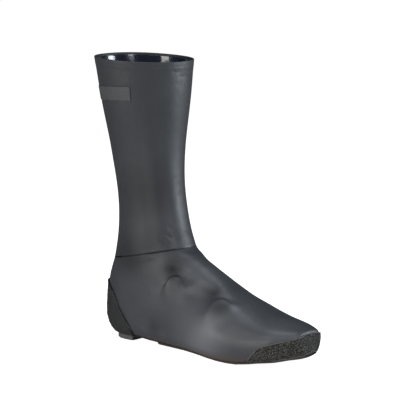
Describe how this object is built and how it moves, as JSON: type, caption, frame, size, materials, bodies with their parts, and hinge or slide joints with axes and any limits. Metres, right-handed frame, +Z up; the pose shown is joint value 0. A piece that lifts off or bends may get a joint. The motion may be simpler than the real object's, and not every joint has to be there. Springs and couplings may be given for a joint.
{
  "type": "cycling overshoe",
  "caption": "Tall stretch-coated cycling overshoe for a right foot, with an open collar, a rubber toe patch and heel patch, a tread, and an opening for the cleat.",
  "frame": {"origin": "on the floor under the middle of the overshoe's box", "axes": "+Z up, +X from the heel to the toe, +Y to the wearer's left, which is the inner side of this right foot"},
  "size_m": [0.3076, 0.109, 0.3383],
  "materials": {
    "coated_fabric": "satin polyurethane coating on a stretch knit",
    "tread_rubber": "matt moulded rubber",
    "grit_rubber": "coarse gritty rubber",
    "heel_rubber": "finely textured rubber",
    "lug_rubber": "smooth dark rubber",
    "gripper_film": "glossy silicone film",
    "reflective_film": "plain dark reflective print"
  },
  "bodies": {
    "root": {"shaft": "coated_fabric", "upper": "coated_fabric", "sole_panel": "coated_fabric", "tread": "tread_rubber", "toe_patch": "grit_rubber", "heel_patch": "heel_rubber", "heel_lug": "lug_rubber", "gripper": "gripper_film", "back_tab": "reflective_film"}
  },
  "joints": []
}
